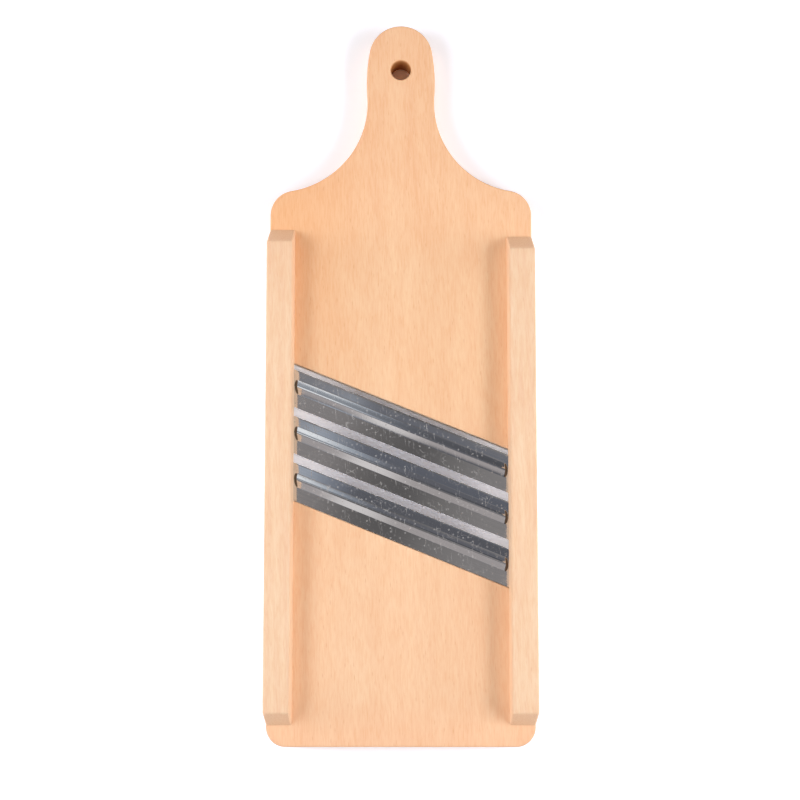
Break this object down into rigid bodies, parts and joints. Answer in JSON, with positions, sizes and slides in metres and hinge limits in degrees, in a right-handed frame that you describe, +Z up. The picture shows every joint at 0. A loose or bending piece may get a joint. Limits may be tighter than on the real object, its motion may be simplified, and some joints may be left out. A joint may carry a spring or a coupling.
{
  "type": "cabbage cutter",
  "caption": "Flat beech cabbage cutter with a shaped handle and hanging hole, side rails, and slanting steel blades over a window that the slices fall through.",
  "frame": {"origin": "under the middle of the board, on the surface that it lies on", "axes": "+Z up out of the board, +Y along the board towards the handle, X across the board"},
  "size_m": [0.155, 0.425, 0.03],
  "materials": {
    "board_beech": "planed and sanded, untreated",
    "rail_beech": "planed and sanded, untreated",
    "blade_steel": "rolled strip, ground cutting edge",
    "screw_zinc": "zinc plated"
  },
  "bodies": {
    "root": {"board": "board_beech", "left_rail": "rail_beech", "right_rail": "rail_beech", "first_blade": "blade_steel", "second_blade": "blade_steel", "third_blade": "blade_steel", "left_rail_screws": "screw_zinc", "right_rail_screws": "screw_zinc"}
  },
  "joints": []
}
